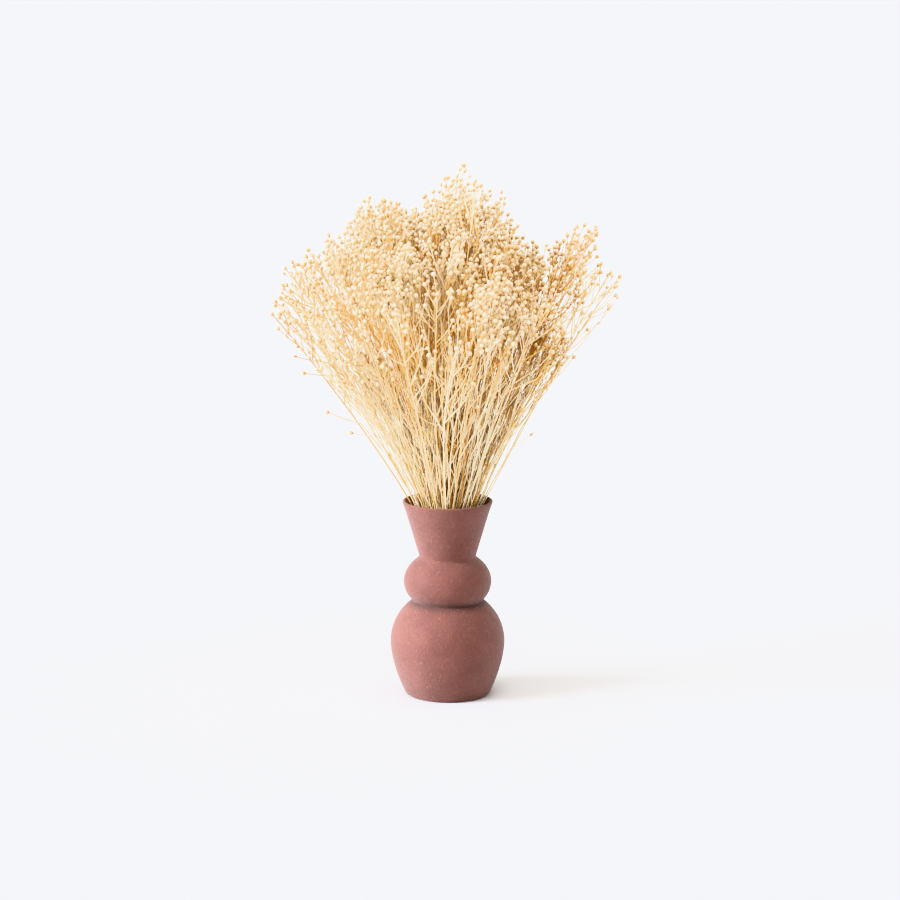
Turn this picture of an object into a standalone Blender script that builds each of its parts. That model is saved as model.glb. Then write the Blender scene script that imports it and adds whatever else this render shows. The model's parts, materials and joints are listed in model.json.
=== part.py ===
"""Vase of dried broom blooms: a hollow stoneware vase and a spreading bunch of seed sprays."""

import math
import random

import bmesh
import bpy
import numpy as np
from mathutils import Matrix, Vector

MM = 0.001
WELD = 0.00003
GOLDEN_ANGLE = math.pi * (3 - math.sqrt(5))
STONEWARE_COLOUR = (0.33, 0.13, 0.11)
STRAW_COLOUR = (0.80, 0.60, 0.33)

# vase, all in millimetres
VASE_HEIGHT = 200.0
FLOOR_THICKNESS = 5.0
WALL = 4.0
FOOT_ROUNDING = 3.0
BULB_RADIUS = 57.9
BULB_CENTRE = 54.5
BULB_UPPER_REACH = 54.1
BULB_LOWER_REACH = 117.4
BULB_LOWER_POWER = 1.70
BALL_RADIUS = 44.4
BALL_CENTRE = 116.6
BALL_REACH = 32.1
WAIST_HEIGHT = 141.0
NECK_WAIST_RADIUS = 28.1
RIM_RADIUS = 45.6
LIP_THICKNESS = 3.3
CREASE_BLEND = 0.25
WAIST_BLEND = 1.6
VASE_STEPS = 40

# bunch, all in millimetres; the bunch radii are those of the circle round all its stems
SPRAY_COUNT = 44
STEM_FOOT_GAP = 0.4
BUNCH_FOOT_RADIUS = 28.0
BUNCH_WAIST_RADIUS = 22.0
BUNCH_RIM_RADIUS = 38.5
BUNCH_FLARE = 0.00055
BUNCH_LEAN = 0.075
STEM_RADIUS = 1.0
STEM_TIP_RADIUS = 0.75
STEM_WANDER = 0.8
TWIGS_PER_SPRAY = 10
TWIG_ATTEMPTS = 24
BENT_TWIGS = 3
TWIG_RADIUS = 0.52
CROWN_DEPTH = 108.0
CAPSULE_LENGTH = 6.0
CAPSULE_BELLY = 2.7
CAPSULE_RADIUS = 2.6
POINT_RADIUS = 0.01
CLEARANCE = 0.9

# reach of the stems from the middle of the rim; each lobe adds to it around one direction,
# as tilt to the right, tilt to the back, extra reach, width and thickness, in degrees and mm
PLAIN_REACH = 276.0
REACH_LOBES = {
    "top": (4, 0, 56, 6, 14),
    "upper left": (-13, 1, 38, 5.5, 14),
    "left shoulder": (-30, 0, 13, 6, 12),
    "left edge": (-45, 0, -22, 4, 30),
    "right valley": (17.5, 0, -14, 4, 14),
    "far right": (28, 2, 34, 3.5, 10),
    "front edge": (0, -44, -26, 45, 8),
    "back edge": (0, 44, -24, 45, 8),
}
LEFT_LIMIT = -43.0
RIGHT_LIMIT = 39.5
DEPTH_LIMIT = 41.0


def soft_max(first, second, blend):
    """Larger of two radii, with a fillet where they are alike."""
    top = max(first, second)
    return top + blend * math.log(
        math.exp((first - top) / blend) + math.exp((second - top) / blend)
    )


def oval(distance, radius, reach):
    """Radius of an ellipse at a height from its centre."""
    return radius * math.sqrt(max(0.0, 1 - (distance / reach) ** 2))


def body_radius(z, inset):
    """Radius of the bulb and the ball at a height, pulled in by a wall's thickness."""
    if z >= BULB_CENTRE:
        bulb = oval(z - BULB_CENTRE, BULB_RADIUS - inset, BULB_UPPER_REACH - inset)
    else:
        drop = (BULB_CENTRE - z) / BULB_LOWER_REACH
        bulb = (BULB_RADIUS - inset) - BULB_RADIUS * drop**BULB_LOWER_POWER
    ball = oval(z - BALL_CENTRE, BALL_RADIUS - inset, BALL_REACH - inset)
    return soft_max(bulb, ball, CREASE_BLEND)


def neck_radius(z, waist, rim):
    """Radius of the straight neck between its waist and its rim."""
    return waist + (rim - waist) * (z - WAIST_HEIGHT) / (VASE_HEIGHT - WAIST_HEIGHT)


def outer_radius(z):
    radius = soft_max(body_radius(z, 0), neck_radius(z, NECK_WAIST_RADIUS, RIM_RADIUS), WAIST_BLEND)
    if z < FOOT_ROUNDING:
        rise = (FOOT_ROUNDING - z) / FOOT_ROUNDING
        radius -= FOOT_ROUNDING * (1 - math.sqrt(1 - rise**2))
    return radius


def inner_radius(z):
    waist = NECK_WAIST_RADIUS - WALL
    rim = RIM_RADIUS - LIP_THICKNESS
    return soft_max(body_radius(z, WALL), neck_radius(z, waist, rim), WAIST_BLEND)


def vase_profile():
    """Half section from the middle of the inner floor, over the lip, to the foot's middle."""
    lip_radius = LIP_THICKNESS / 2
    lip_height = VASE_HEIGHT - lip_radius
    inner_heights = [14, 34, 56, 78, 92, 97.2, 104, 117, 130, 137, 143]
    outer_heights = [147, 143.5, 141.3, 138.5, *np.linspace(133, 102, 7), 98.4, 97.2, 95.5]
    outer_heights += [*np.linspace(90, FOOT_ROUNDING, 10), 1.2]
    points = [(0, FLOOR_THICKNESS), (inner_radius(FLOOR_THICKNESS) - 5, FLOOR_THICKNESS)]
    points += [(inner_radius(z), z) for z in inner_heights]
    for step in range(5):
        angle = math.pi * (1 - step / 4)
        across = RIM_RADIUS - lip_radius + lip_radius * math.cos(angle)
        points.append((across, lip_height + lip_radius * math.sin(angle)))
    points += [(outer_radius(z), z) for z in outer_heights]
    points += [(outer_radius(0), 0), (0, 0)]
    return points


def make_material(name, colour, roughness):
    material = bpy.data.materials.new(name)
    material.use_nodes = True
    shader = material.node_tree.nodes["Principled BSDF"]
    shader.inputs["Base Color"].default_value = (*colour, 1.0)
    shader.inputs["Roughness"].default_value = roughness
    shader.inputs["Metallic"].default_value = 0.0
    material.diffuse_color = (*colour, 1.0)
    return material


def make_vase(parts):
    profile = bpy.data.meshes.new("vase")
    points = [(x * MM, 0.0, z * MM) for x, z in vase_profile()]
    profile.from_pydata(points, [(i, i + 1) for i in range(len(points) - 1)], [])
    vase = bpy.data.objects.new("vase", profile)
    parts.objects.link(vase)
    screw = vase.modifiers.new("turned", "SCREW")
    screw.axis = "Z"
    screw.angle = math.tau
    screw.steps = VASE_STEPS
    screw.render_steps = VASE_STEPS
    screw.use_merge_vertices = True
    screw.merge_threshold = 0.00005
    screw.use_smooth_shade = True
    profile.materials.append(make_material("matte rose stoneware", STONEWARE_COLOUR, 0.85))
    return vase


def bunch_radius(z):
    """Radius of the whole bunch of stems at a height."""
    if z < WAIST_HEIGHT:
        below = (WAIST_HEIGHT - z) / (WAIST_HEIGHT - FLOOR_THICKNESS)
        return BUNCH_WAIST_RADIUS + (BUNCH_FOOT_RADIUS - BUNCH_WAIST_RADIUS) * below**2
    widening = BUNCH_RIM_RADIUS - BUNCH_WAIST_RADIUS
    neck = VASE_HEIGHT - WAIST_HEIGHT
    if z < VASE_HEIGHT:
        return BUNCH_WAIST_RADIUS + widening * ((z - WAIST_HEIGHT) / neck) ** 2
    above = z - VASE_HEIGHT
    return BUNCH_RIM_RADIUS + 2 * widening / neck * above + BUNCH_FLARE * above**2


def bunch_turn(z):
    """Angle that the spiral of stems has turned through at a height."""
    return math.radians(0.16 * min(z, VASE_HEIGHT) + 0.04 * max(z - VASE_HEIGHT, 0))


def stem_point(spray, z):
    """Centre of a stem at a height: every stem keeps its place in one widening bunch."""
    scale = bunch_radius(z) / BUNCH_WAIST_RADIUS
    turn = bunch_turn(z)
    x = spray["seat"].x + STEM_WANDER * math.sin(z / spray["bends"][0] + spray["phases"][0])
    y = spray["seat"].y + STEM_WANDER * math.sin(z / spray["bends"][1] + spray["phases"][1])
    above = max(z - VASE_HEIGHT, 0)
    lean = -BUNCH_LEAN * above**2 / (above + 30)
    return Vector((
        scale * (x * math.cos(turn) - y * math.sin(turn)) + lean,
        scale * (x * math.sin(turn) + y * math.cos(turn)),
        z,
    ))


def reach_at(offset):
    """How far stems reach in a direction from the middle of the rim."""
    side = math.degrees(math.atan2(offset.x, offset.z))
    depth = math.degrees(math.atan2(offset.y, offset.z))
    reach = PLAIN_REACH
    for lobe_side, lobe_depth, extra, width, thickness in REACH_LOBES.values():
        apart = ((side - lobe_side) / width) ** 2 + ((depth - lobe_depth) / thickness) ** 2
        reach += extra * math.exp(-apart / 2)
    return reach


def is_inside(tip):
    """Whether a capsule's tip keeps to the outline of the crown."""
    offset = tip - Vector((0, 0, VASE_HEIGHT))
    side = math.degrees(math.atan2(offset.x, offset.z))
    depth = math.degrees(math.atan2(offset.y, offset.z))
    within = LEFT_LIMIT < side < RIGHT_LIMIT and abs(depth) < DEPTH_LIMIT
    return within and offset.length < reach_at(offset) + CAPSULE_LENGTH


def plan_stems():
    """Seats spread evenly over the waist, and a height for each tip."""
    rng = random.Random(11)
    rim_middle = Vector((0, 0, VASE_HEIGHT))
    sprays = []
    for index in range(SPRAY_COUNT):
        outward = math.sqrt((index + 0.5) / SPRAY_COUNT)
        angle = index * GOLDEN_ANGLE
        seat = Vector((math.cos(angle), math.sin(angle), 0)) * outward * BUNCH_WAIST_RADIUS
        spray = {
            "seat": seat,
            "bends": (rng.uniform(60, 95), rng.uniform(60, 95)),
            "phases": (rng.uniform(0, math.tau), rng.uniform(0, math.tau)),
            "stretch": rng.uniform(0.91, 1.0) if index % 3 else rng.uniform(0.98, 1.02),
            "turn": rng.uniform(0, math.tau),
        }
        tip = VASE_HEIGHT + 120
        while True:
            offset = stem_point(spray, tip) - rim_middle
            if offset.length >= reach_at(offset) * spray["stretch"]:
                break
            tip += 1.5
        spray["tip"] = tip
        heights = [FLOOR_THICKNESS + STEM_FOOT_GAP, 70, 115, 145, 172, 200]
        heights += [200 + (tip - 200) * share for share in (0.35, 0.68, 1.0)]
        spray["stem"] = [stem_point(spray, z) for z in heights]
        sprays.append(spray)
    return sprays


def segment_gap(first, second, starts, ends):
    """Least distance from one segment to each of many."""
    starts, ends = np.asarray(starts), np.asarray(ends)
    u = np.asarray(second) - np.asarray(first)
    v = ends - starts
    w = np.asarray(first) - starts
    a = float(u @ u)
    b = v @ u
    c = np.einsum("ij,ij->i", v, v)
    d = w @ u
    e = np.einsum("ij,ij->i", v, w)
    denominator = np.maximum(a * c - b * b, 1e-9)
    s = np.clip((b * e - c * d) / denominator, 0, 1)
    t = np.clip((b * s + e) / c, 0, 1)
    s = np.clip((b * t - d) / a, 0, 1)
    return np.linalg.norm(w + s[:, None] * u - t[:, None] * v, axis=1)


def twig_root(spray, z):
    """Centre of the stem's own straight run at a height, and the run's direction."""
    for start, end in zip(spray["stem"], spray["stem"][1:]):
        if z <= end.z:
            return start.lerp(end, (z - start.z) / (end.z - start.z)), (end - start).normalized()
    raise ValueError("a twig starts above its stem")


def twig_path(spray, share, turn, length):
    """A fine branch that leaves the stem and curves up to its capsule."""
    back = 6 + CROWN_DEPTH * (1 - share) ** 1.1
    root, along = twig_root(spray, spray["tip"] - back * 0.93)
    across = along.orthogonal().normalized()
    across.rotate(Matrix.Rotation(turn, 3, along))
    path = []
    for part in (0.0, 0.55, 1.0):
        sideways = 0.58 * length * part * (1.25 - 0.42 * part)
        path.append(root + across * sideways + along * length * 0.84 * part)
    heading = (path[2] - path[1]).normalized()
    path.append(path[2] + heading * CAPSULE_BELLY)
    path.append(path[2] + heading * CAPSULE_LENGTH)
    return path


def is_clear(path, taken, owner):
    """Whether a twig and its capsule stay off every stem, twig and capsule placed before."""
    starts = np.array([start for start, _, _, _ in taken])
    ends = np.array([end for _, end, _, _ in taken])
    radii = np.array([radius for _, _, radius, _ in taken])
    others = np.array([placed != owner for _, _, _, placed in taken])
    past_root = path[0].lerp(path[1], 0.3)
    runs = (
        (path[0], path[1], TWIG_RADIUS, others),
        (past_root, path[1], TWIG_RADIUS, ~others),
        (path[1], path[2], TWIG_RADIUS, others | ~others),
        (path[2], path[4], CAPSULE_RADIUS, others | ~others),
    )
    for start, end, radius, among in runs:
        if among.any():
            gaps = segment_gap(start, end, starts[among], ends[among]) - radii[among] - radius
            if gaps.min() < CLEARANCE:
                return False
    return True


def plan_twigs(sprays):
    """Gives every spray its twigs, one at a time in turn, each clear of all others."""
    rng = random.Random(23)
    taken = []
    for owner, spray in enumerate(sprays):
        spray["twigs"] = []
        for start, end in zip(spray["stem"], spray["stem"][1:]):
            taken.append((start, end, STEM_RADIUS, owner))
        top = spray["stem"][-1]
        heading = (top - spray["stem"][-2]).normalized()
        taken.append((top, top + heading * CAPSULE_LENGTH, CAPSULE_RADIUS, owner))
    for number in range(TWIGS_PER_SPRAY):
        for owner, spray in enumerate(sprays):
            for attempt in range(TWIG_ATTEMPTS):
                share = (number + rng.uniform(0.1, 0.9)) / TWIGS_PER_SPRAY
                turn = spray["turn"] + (number + attempt * 3.3) * GOLDEN_ANGLE
                length = (22 + 60 * (1 - share)) * rng.uniform(0.75, 1.1) * 0.97**attempt
                path = twig_path(spray, share, turn, length)
                if is_inside(path[4]) and is_clear(path, taken, owner):
                    spray["twigs"].append(path)
                    taken.append((path[0].lerp(path[1], 0.25), path[1], TWIG_RADIUS, owner))
                    taken.append((path[1], path[2], TWIG_RADIUS, owner))
                    taken.append((path[2], path[4], CAPSULE_RADIUS, owner))
                    break


def make_section(guides, name, sides):
    """A small polygon that the tubes are drawn along with."""
    curve = bpy.data.curves.new(name, "CURVE")
    curve.dimensions = "2D"
    spline = curve.splines.new("POLY")
    spline.points.add(sides - 1)
    for index, point in enumerate(spline.points):
        angle = math.tau * index / sides
        point.co = (math.cos(angle) * MM, math.sin(angle) * MM, 0, 1)
    spline.use_cyclic_u = True
    section = bpy.data.objects.new(name, curve)
    section.hide_render = True
    section.display_type = "WIRE"
    guides.objects.link(section)
    return section


def make_tube(collection, name, points, radii, section):
    """A tube through points given in millimetres, with a radius at each."""
    curve = bpy.data.curves.new(name, "CURVE")
    curve.dimensions = "3D"
    curve.twist_mode = "MINIMUM"
    curve.bevel_mode = "OBJECT"
    curve.bevel_object = section
    curve.use_fill_caps = True
    spline = curve.splines.new("POLY")
    spline.points.add(len(points) - 1)
    for point, place, radius in zip(spline.points, points, radii):
        point.co = (*(place * MM), 1)
        point.radius = radius
    tube = bpy.data.objects.new(name, curve)
    collection.objects.link(tube)
    return tube


def as_mesh(collection, tube):
    """Closed mesh of a tube, its caps welded and its pointed end drawn to one point."""
    graph = bpy.context.evaluated_depsgraph_get()
    mesh = bpy.data.meshes.new_from_object(tube.evaluated_get(graph))
    shape = bmesh.new()
    shape.from_mesh(mesh)
    bmesh.ops.remove_doubles(shape, verts=shape.verts, dist=WELD)
    bmesh.ops.recalc_face_normals(shape, faces=shape.faces)
    shape.to_mesh(mesh)
    shape.free()
    solid = bpy.data.objects.new(tube.name, mesh)
    solid.matrix_world = tube.matrix_world
    collection.objects.link(solid)
    curve = tube.data
    bpy.data.objects.remove(tube)
    bpy.data.curves.remove(curve)
    return solid


def make_tubes(collection, name, spray, stem_section, twig_section):
    """The stem with its top capsule, then each twig with its own."""
    top = spray["stem"][-1]
    heading = (top - spray["stem"][-2]).normalized()
    points = [*spray["stem"], top + heading * CAPSULE_BELLY, top + heading * CAPSULE_LENGTH]
    taper = np.linspace(STEM_RADIUS, STEM_TIP_RADIUS, len(spray["stem"]))
    radii = [*taper, CAPSULE_RADIUS, POINT_RADIUS]
    tubes = [make_tube(collection, name, points, radii, stem_section)]
    for number, path in enumerate(spray["twigs"]):
        # only the long lower twigs show their bend
        points = path if number < BENT_TWIGS else [path[0], *path[2:]]
        radii = [TWIG_RADIUS] * (len(points) - 2) + [CAPSULE_RADIUS, POINT_RADIUS]
        tubes.append(make_tube(collection, f"{name} twig {number}", points, radii, twig_section))
    bpy.context.view_layer.update()
    return tubes


def fuse(stem, twigs):
    """Makes one solid of a stem and the collection of its twigs."""
    union = stem.modifiers.new("fused", "BOOLEAN")
    union.operation = "UNION"
    union.operand_type = "COLLECTION"
    union.collection = twigs
    union.solver = "MANIFOLD"
    bpy.context.view_layer.update()
    graph = bpy.context.evaluated_depsgraph_get()
    fused = bpy.data.meshes.new_from_object(stem.evaluated_get(graph))
    stem.modifiers.remove(union)
    stem.data = fused
    fused.name = stem.name
    fused.shade_smooth()
    fused.set_sharp_from_angle(angle=math.radians(50))
    for twig in list(twigs.objects):
        bpy.data.objects.remove(twig)
    bpy.data.collections.remove(twigs)


def make_sprays(parts, guides):
    stem_section = make_section(guides, "stem section", 4)
    twig_section = make_section(guides, "twig section", 3)
    sprays = plan_stems()
    plan_twigs(sprays)
    rng = random.Random(5)
    for index, spray in enumerate(sprays):
        name = f"spray_{index + 1:02d}"
        twigs = bpy.data.collections.new(name + " twigs")
        bpy.context.scene.collection.children.link(twigs)
        tubes = make_tubes(twigs, name, spray, stem_section, twig_section)
        solids = [as_mesh(twigs, tube) for tube in tubes]
        stem = solids[0]
        twigs.objects.unlink(stem)
        parts.objects.link(stem)
        stem.name = name
        fuse(stem, twigs)
        shade = rng.uniform(0.9, 1.06)
        colour = [channel * shade for channel in STRAW_COLOUR]
        stem.data.materials.clear()
        stem.data.materials.append(make_material(f"dried straw {index + 1:02d}", colour, 0.7))


def main():
    for item in list(bpy.data.objects):
        bpy.data.objects.remove(item)
    parts = bpy.data.collections.new("vase of dried broom blooms")
    guides = bpy.data.collections.new("guides")
    bpy.context.scene.collection.children.link(parts)
    bpy.context.scene.collection.children.link(guides)
    make_vase(parts)
    make_sprays(parts, guides)


main()
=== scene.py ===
import itertools
import json
import math
import random

import bmesh
import bpy
import numpy as np
from mathutils import Matrix, Vector

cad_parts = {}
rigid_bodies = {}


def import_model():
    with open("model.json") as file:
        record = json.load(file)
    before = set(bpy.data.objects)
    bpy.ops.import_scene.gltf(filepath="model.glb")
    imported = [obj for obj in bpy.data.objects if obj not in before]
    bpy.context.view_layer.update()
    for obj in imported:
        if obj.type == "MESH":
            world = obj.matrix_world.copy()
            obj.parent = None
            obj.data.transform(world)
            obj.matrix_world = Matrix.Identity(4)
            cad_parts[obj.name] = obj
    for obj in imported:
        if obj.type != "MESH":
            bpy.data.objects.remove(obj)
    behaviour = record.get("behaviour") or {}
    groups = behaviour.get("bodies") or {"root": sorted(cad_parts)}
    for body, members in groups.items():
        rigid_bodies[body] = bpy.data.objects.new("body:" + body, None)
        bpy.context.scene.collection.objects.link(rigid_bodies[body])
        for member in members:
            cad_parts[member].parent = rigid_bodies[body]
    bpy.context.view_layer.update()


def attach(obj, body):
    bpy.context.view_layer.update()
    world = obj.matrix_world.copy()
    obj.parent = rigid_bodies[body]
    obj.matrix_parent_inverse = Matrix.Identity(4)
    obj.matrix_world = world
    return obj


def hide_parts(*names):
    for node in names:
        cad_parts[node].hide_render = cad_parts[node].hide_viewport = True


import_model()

mm = 0.001
goldenAngle = math.pi * (3 - math.sqrt(5))


def addNode(tree, kind, inputs=None, **settings):  # an input may be a value, socket or node
    node = tree.nodes.new(kind)
    for name, value in settings.items():
        setattr(node, name, value)
    for name, value in (inputs or {}).items():
        if isinstance(value, bpy.types.Node):
            value = next(output for output in value.outputs if output.enabled)
        if isinstance(value, bpy.types.NodeSocket):
            tree.links.new(value, node.inputs[name])
        else:
            node.inputs[name].default_value = value
    return node


def linearColour(code):  # sRGB hex to linear, with full alpha
    channels = [int(code[i:i + 2], 16) / 255 for i in (1, 3, 5)]
    linear = [c / 12.92 if c <= 0.04045 else ((c + 0.055) / 1.055) ** 2.4 for c in channels]
    return (*linear, 1.0)


def setRamp(ramp, stops):  # stops are pairs of place and hex colour
    elements = ramp.color_ramp.elements
    while len(elements) < len(stops):
        elements.new(0.5)
    for element, (place, code) in zip(elements, stops):
        element.position = place
        element.color = linearColour(code)


def newMaterial(name):
    material = bpy.data.materials.new(name)
    material.use_nodes = True
    tree = material.node_tree
    tree.nodes.clear()
    return material, tree


def clamped(value):
    return min(1.0, max(0.0, value))


# turned vase: heights, radii and walls in mm
vaseValues = {
    "height": 200.0,
    "floorThickness": 5.0,
    "wall": 4.0,
    "footRounding": 3.0,
    "bulbRadius": 57.9,
    "bulbCentre": 54.5,
    "bulbUpperReach": 54.1,
    "bulbLowerReach": 117.4,
    "bulbLowerPower": 1.70,
    "ballRadius": 44.4,
    "ballCentre": 116.6,
    "ballReach": 32.1,
    "waistHeight": 141.0,
    "neckWaistRadius": 28.1,
    "rimRadius": 45.6,
    "lipThickness": 3.3,
    "creaseBlend": 0.25,
    "waistBlend": 1.6,
    "lipSteps": 10,
    "steps": 128,
}


def softMax(first, second, blend):  # the larger radius, with a fillet where they are alike
    top = max(first, second)
    extra = math.exp((first - top) / blend) + math.exp((second - top) / blend)
    return top + blend * math.log(extra)


def ovalRadius(distance, radius, reach):
    return radius * math.sqrt(max(0.0, 1 - (distance / reach) ** 2))


def bodyRadius(z, inset):
    v = vaseValues
    if z >= v["bulbCentre"]:
        reach = v["bulbUpperReach"] - inset
        bulb = ovalRadius(z - v["bulbCentre"], v["bulbRadius"] - inset, reach)
    else:
        drop = (v["bulbCentre"] - z) / v["bulbLowerReach"]
        bulb = v["bulbRadius"] - inset - v["bulbRadius"] * drop ** v["bulbLowerPower"]
    ball = ovalRadius(z - v["ballCentre"], v["ballRadius"] - inset, v["ballReach"] - inset)
    return softMax(bulb, ball, v["creaseBlend"])


def neckRadius(z, waist, rim):
    v = vaseValues
    return waist + (rim - waist) * (z - v["waistHeight"]) / (v["height"] - v["waistHeight"])


def outerRadius(z):
    v = vaseValues
    neck = neckRadius(z, v["neckWaistRadius"], v["rimRadius"])
    radius = softMax(bodyRadius(z, 0), neck, v["waistBlend"])
    if z < v["footRounding"]:
        rise = (v["footRounding"] - z) / v["footRounding"]
        radius -= v["footRounding"] * (1 - math.sqrt(1 - rise ** 2))
    return radius


def innerRadius(z):
    v = vaseValues
    waist = v["neckWaistRadius"] - v["wall"]
    neck = neckRadius(z, waist, v["rimRadius"] - v["lipThickness"])
    return softMax(bodyRadius(z, v["wall"]), neck, v["waistBlend"])


def vaseProfile():  # half section from the inner floor, over the lip, down to the foot
    v = vaseValues  # the heights below lie closer together where the wall bends
    lip = v["lipThickness"] / 2
    floor = v["floorThickness"]
    edge = innerRadius(floor)
    points = [(0, floor), (edge - 12, floor), (edge - 6, floor + 0.3), (innerRadius(8) - 1.4, 7.2)]
    inner = [*np.linspace(11, 90, 16), 93, 95.5, 97.2, 98.8, *np.linspace(101, 132, 12)]
    inner += [*np.linspace(134, 146, 8), 160, 175, 190]
    points += [(innerRadius(z), z) for z in inner]
    middle = (v["rimRadius"] - lip, v["height"] - lip)
    for step in range(v["lipSteps"] + 1):
        angle = math.pi * (1 - step / v["lipSteps"])
        points.append((middle[0] + lip * math.cos(angle), middle[1] + lip * math.sin(angle)))
    outer = [190, 175, 160, *np.linspace(148, 136, 13), *np.linspace(134, 101, 16), 99.4, 98.3]
    outer += [97.7, 97.2, 96.6, 95.6, *np.linspace(93.5, 4, 24), *np.linspace(3, 0.4, 6), 0.1]
    points += [(outerRadius(z), z) for z in outer]
    points += [(outerRadius(0) - 0.1, 0), (34, 0), (0, 0)]
    return points


def makeVase():
    profile = bpy.data.meshes.new("stonewareVase")
    points = [(x * mm, 0, z * mm) for x, z in vaseProfile()]
    profile.from_pydata(points, [(i, i + 1) for i in range(len(points) - 1)], [])
    vase = bpy.data.objects.new("stonewareVase", profile)
    bpy.context.scene.collection.objects.link(vase)
    screw = vase.modifiers.new("turned", "SCREW")
    screw.steps = screw.render_steps = vaseValues["steps"]
    screw.use_merge_vertices = True
    screw.merge_threshold = 0.00002
    screw.use_smooth_shade = True
    return vase


# matt stoneware, slip-cast, sprayed with a dry rose slip and sponged: chalky, with fine curled
# strokes, a little grain, soft clouds where the slip lay thicker, and a few pin specks
stonewareValues = {
    "clouds": ((0.32, "#694037"), (0.5, "#6f453c"), (0.7, "#764a41")),
    "cloud": 26.0,  # mm, size of the soft clouds
    "grains": ((0.33, "#c9c9c9"), (0.5, "#f4f4f4"), (0.68, "#ffffff")),
    "grain": 0.9,  # mm, as coarse as it needs to show
    "grainShare": 0.25,
    "grainRelief": 0.2,  # mm
    "stroke": "#8a5b4d",
    "scratch": 3.4,  # mm, size of the strokes that the brush and sponge left
    "scratchTwist": 0.8,
    "strokeEdge": (0.01, 0.055),
    "strokeShare": 0.45,
    "strokeRelief": 0.6,  # mm
    # colour, mm apart and size as a share of that
    "specks": (("#4e2f2a", 13.0, 0.032), ("#c29a90", 16.9, 0.022)),
    "speckShare": 0.75,
    "creaseHeight": 97.2,
    "creaseBand": (0.6, 6.0),  # mm above and below it, where the shade starts to fade and ends
    "creasePaintedShade": 0.6,  # painted shade: darker in the crease under the ball, where its shadow falls
    "roughness": 0.72,
    "specular": 0.48,
    "sheen": 0.22,  # pale bloom of the dry slip at grazing angles
}


def makeStoneware():
    v = stonewareValues
    material, tree = newMaterial("matt rose stoneware, slip-cast and sprayed")
    place = addNode(tree, "ShaderNodeTexCoord").outputs["Object"]
    cloud = addNode(tree, "ShaderNodeTexNoise", {
        "Vector": place, "Scale": 1 / (v["cloud"] * mm), "Detail": 3.0, "Roughness": 0.55})
    grain = addNode(tree, "ShaderNodeTexNoise", {
        "Vector": place, "Scale": 1 / (v["grain"] * mm), "Detail": 2.0, "Roughness": 0.6})
    clouds = addNode(tree, "ShaderNodeValToRGB", {"Fac": cloud})
    setRamp(clouds, v["clouds"])
    grains = addNode(tree, "ShaderNodeValToRGB", {"Fac": grain})
    setRamp(grains, v["grains"])
    grained = addNode(tree, "ShaderNodeMix", {
        "Factor": v["grainShare"], "A": clouds, "B": grains},
        data_type="RGBA", blend_type="MULTIPLY")
    scratch = addNode(tree, "ShaderNodeTexNoise", {
        "Vector": place, "Scale": 1 / (v["scratch"] * mm), "Detail": 0.0,
        "Distortion": v["scratchTwist"]})
    level = addNode(tree, "ShaderNodeMath", {0: scratch, 1: -0.5}, operation="ADD")
    apart = addNode(tree, "ShaderNodeMath", {0: level}, operation="ABSOLUTE")
    stroke = addNode(tree, "ShaderNodeMapRange", {
        "Value": apart, "From Min": v["strokeEdge"][0], "From Max": v["strokeEdge"][1],
        "To Min": v["strokeShare"], "To Max": 0.0})
    colour = addNode(tree, "ShaderNodeMix", {
        "Factor": stroke, "A": grained, "B": linearColour(v["stroke"])}, data_type="RGBA")
    for code, cell, size in v["specks"]:
        cells = addNode(tree, "ShaderNodeTexVoronoi", {
            "Vector": place, "Scale": 1 / (cell * mm), "Randomness": 1.0})
        speck = addNode(tree, "ShaderNodeMapRange", {
            "Value": cells, "From Min": size, "From Max": size * 1.8,
            "To Min": v["speckShare"], "To Max": 0.0})
        colour = addNode(tree, "ShaderNodeMix", {
            "Factor": speck, "A": colour, "B": linearColour(code)}, data_type="RGBA")
    # painted shade: the colour is darkened in a band round the crease under the ball
    height = addNode(tree, "ShaderNodeSeparateXYZ", {0: place})
    fromCrease = addNode(tree, "ShaderNodeMath", {
        0: height.outputs["Z"], 1: -v["creaseHeight"] * mm}, operation="ADD")
    offCrease = addNode(tree, "ShaderNodeMath", {0: fromCrease}, operation="ABSOLUTE")
    shade = addNode(tree, "ShaderNodeMapRange", {
        "Value": offCrease, "From Min": v["creaseBand"][0] * mm,
        "From Max": v["creaseBand"][1] * mm, "To Min": v["creasePaintedShade"], "To Max": 1.0})
    colourWithCreaseShade = addNode(tree, "ShaderNodeMix", {
        "Factor": 1.0, "A": colour, "B": shade}, data_type="RGBA", blend_type="MULTIPLY")
    fine = addNode(tree, "ShaderNodeBump", {
        "Height": grain, "Strength": 0.3, "Distance": v["grainRelief"] * mm})
    bump = addNode(tree, "ShaderNodeBump", {
        "Height": stroke, "Strength": 1.0, "Distance": v["strokeRelief"] * mm, "Normal": fine})
    shader = addNode(tree, "ShaderNodeBsdfPrincipled", {
        "Base Color": colourWithCreaseShade, "Roughness": v["roughness"], "IOR": 1.5,
        "Specular IOR Level": v["specular"], "Sheen Weight": v["sheen"], "Sheen Roughness": 0.6,
        "Normal": bump})
    addNode(tree, "ShaderNodeOutputMaterial", {"Surface": shader})
    return material


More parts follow.
